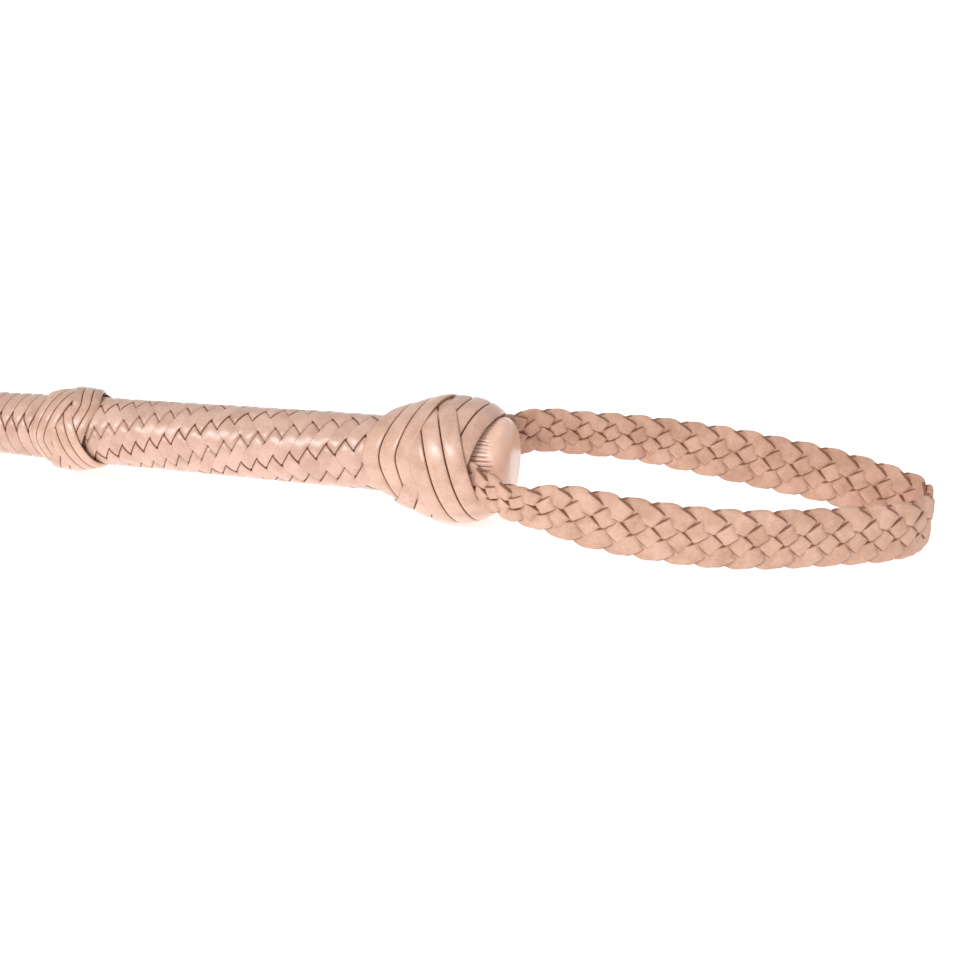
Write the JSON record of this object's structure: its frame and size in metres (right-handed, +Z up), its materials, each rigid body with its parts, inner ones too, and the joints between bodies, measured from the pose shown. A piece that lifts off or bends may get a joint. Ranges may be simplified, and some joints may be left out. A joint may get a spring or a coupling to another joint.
{
  "type": "riding crop",
  "caption": "Plaited leather riding crop: tapered rod under lace covers, ring and butt knots, a swinging wrist loop of flat plait and a folded leather keeper.",
  "frame": {"origin": "on the table, under the middle of the whole crop's box as it lies at rest", "axes": "+X along the crop from the keeper towards the wrist loop, +Z up, +Y to the side of the wrist loop's far leg"},
  "size_m": [0.7968, 0.0582, 0.0374],
  "materials": {
    "plaited_leather": "semi-gloss, fine grain, natural vegetable tan",
    "smooth_leather": "semi-gloss, smooth natural tan",
    "strap_leather": "matte, suede-like flesh side",
    "underlay_leather": "matte",
    "wood": "sanded, unvarnished",
    "glass_fibre": "satin",
    "waxed_thread": "waxed",
    "brass": "bright"
  },
  "bodies": {
    "crop": {"core_rod": "glass_fibre", "handle_bolster": "wood", "shaft_filler": "underlay_leather", "grip_cover": "plaited_leather", "shaft_cover": "plaited_leather", "ring_knot_foundation": "underlay_leather", "ring_knot": "plaited_leather", "knot_foundation": "underlay_leather", "butt_block": "wood", "butt_cap": "smooth_leather", "butt_knot": "plaited_leather", "loop_tail_near": "strap_leather", "loop_tail_far": "strap_leather", "tail_nail_near": "brass", "tail_nail_far": "brass", "tail_whipping": "waxed_thread", "keeper_root_upper": "smooth_leather", "keeper_root_lower": "smooth_leather", "tip_whipping": "waxed_thread", "tip_knot": "plaited_leather"},
    "wrist_loop": {"wrist_loop": "strap_leather"},
    "keeper": {"keeper": "smooth_leather", "keeper_stitch_1": "waxed_thread", "keeper_stitch_2": "waxed_thread", "keeper_stitch_3": "waxed_thread"}
  },
  "joints": [
    {"name": "wrist_loop_swing", "type": "hinge", "parent": "crop", "child": "wrist_loop", "pos_m": [0.2835, -0.00298, 0.01913], "axis": [0, -1, 0], "range_deg": [-70, 70]},
    {"name": "keeper_flex", "type": "hinge", "parent": "crop", "child": "keeper", "pos_m": [-0.31438, -0.00298, 0.00685], "axis": [0, 1, 0], "range_deg": [-60, 60], "stiffness_Nm_per_rad": 0.05}
  ]
}
